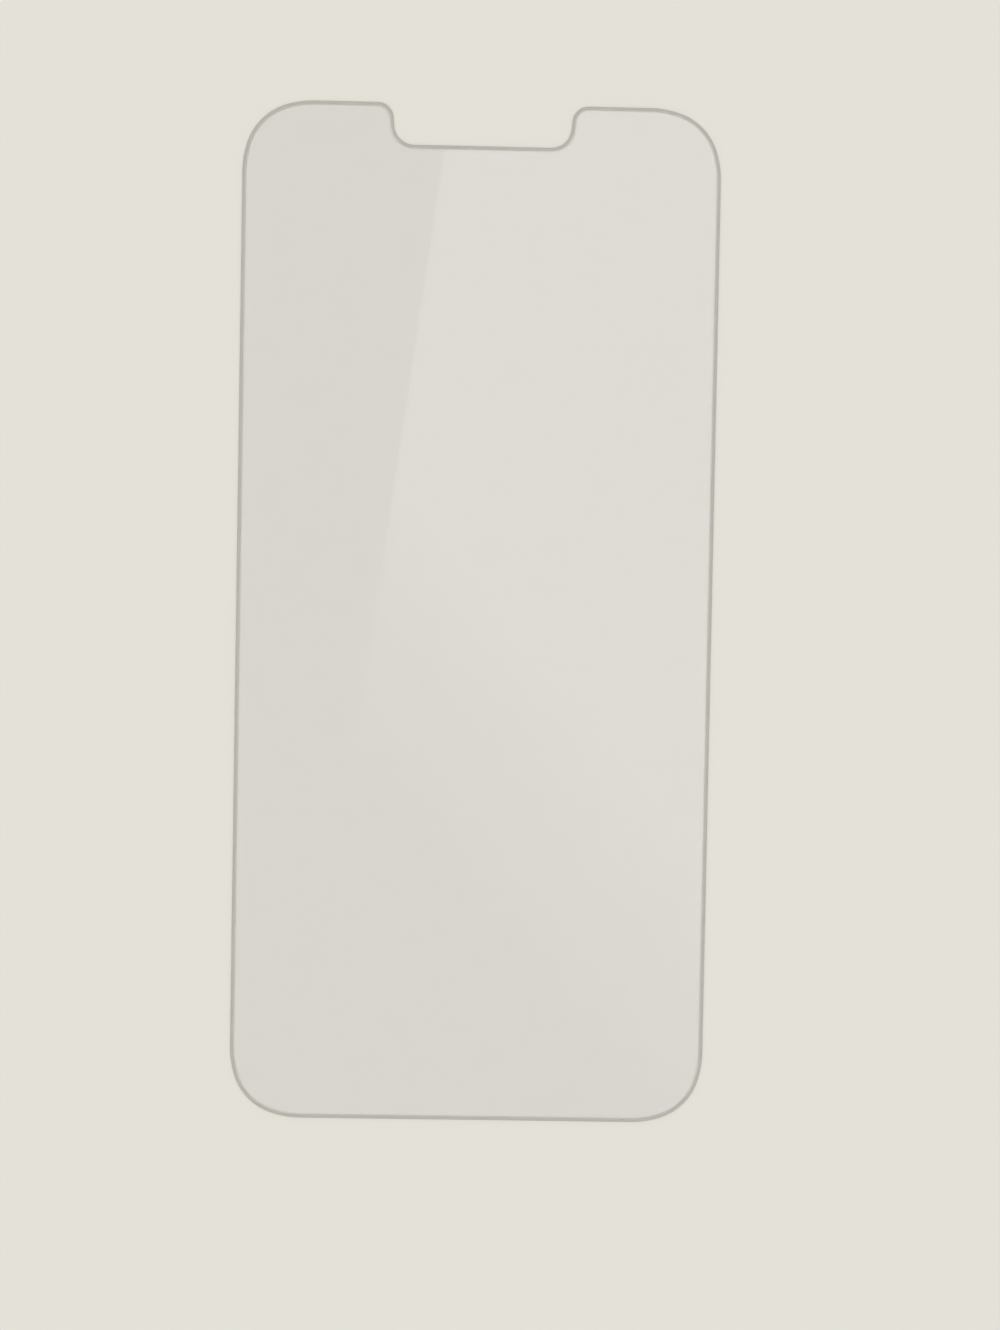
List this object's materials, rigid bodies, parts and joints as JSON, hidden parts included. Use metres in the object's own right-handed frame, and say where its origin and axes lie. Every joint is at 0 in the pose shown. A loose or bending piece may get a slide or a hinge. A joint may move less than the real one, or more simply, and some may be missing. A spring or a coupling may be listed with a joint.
{
  "type": "phone screen protector",
  "caption": "Thin clear glass sheet with rounded corners, a notch in its upper end and a rolled edge, that sticks over a phone's display to shield it.",
  "frame": {"origin": "middle of the flat underside", "axes": "+Z from the underside to the outer face, +Y along the sheet towards the notched end, +X across it"},
  "size_m": [0.0666, 0.1422, 0.0003],
  "materials": {
    "glass": "polished faces, satin ground edge"
  },
  "bodies": {
    "root": {"glass_sheet": "glass"}
  },
  "joints": []
}
